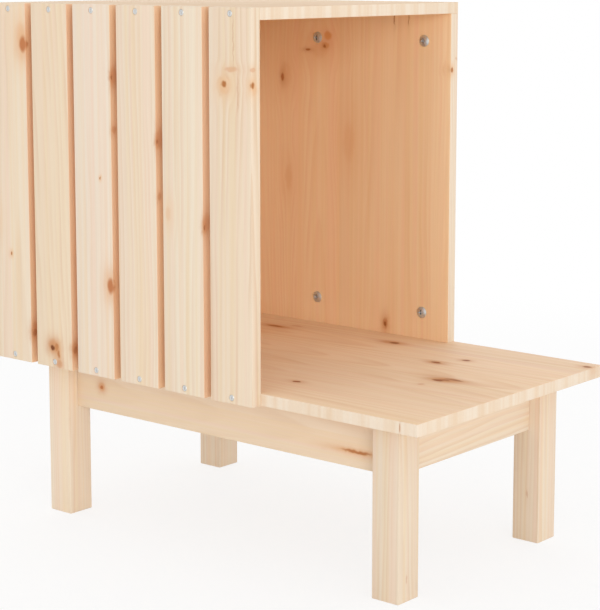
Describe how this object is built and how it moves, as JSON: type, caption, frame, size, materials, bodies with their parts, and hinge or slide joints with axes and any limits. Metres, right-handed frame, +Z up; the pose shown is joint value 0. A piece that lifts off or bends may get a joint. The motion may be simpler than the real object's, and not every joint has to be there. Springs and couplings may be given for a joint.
{
  "type": "cat house",
  "caption": "Pine cat house: a den with a slatted side and an open end stands on a low legged bench, whose board runs on as a terrace.",
  "frame": {"origin": "on the floor, under the middle of the object's bounding box", "axes": "+X along the bench towards the open end of the den and its terrace, -Y towards the slatted side, +Y towards the closed long wall, +Z up"},
  "size_m": [0.6, 0.375, 0.6],
  "materials": {
    "pine": "planed and sanded pine, bare or with a clear matt oil, eased edges",
    "beech": "turned beech dowel rod, glued in",
    "zinc_steel": "bright zinc-plated steel"
  },
  "bodies": {
    "root": {"apron_den_end": "pine", "apron_dowels": "beech", "apron_slatted_side": "pine", "apron_terrace_end": "pine", "apron_walled_side": "pine", "back_wall": "pine", "back_wall_dowels": "beech", "batten_lower": "pine", "batten_screws": "zinc_steel", "batten_upper": "pine", "bench_board": "pine", "corner_block_den_slatted": "pine", "corner_block_den_walled": "pine", "corner_block_screws": "zinc_steel", "corner_block_terrace_slatted": "pine", "corner_block_terrace_walled": "pine", "end_wall": "pine", "end_wall_dowels": "beech", "leg_den_slatted": "pine", "leg_den_walled": "pine", "leg_terrace_slatted": "pine", "leg_terrace_walled": "pine", "slat_1": "pine", "slat_2": "pine", "slat_3": "pine", "slat_4": "pine", "slat_5": "pine", "slat_6": "pine", "slat_screws_bottom": "zinc_steel", "slat_screws_top": "zinc_steel", "top_board": "pine"}
  },
  "joints": []
}
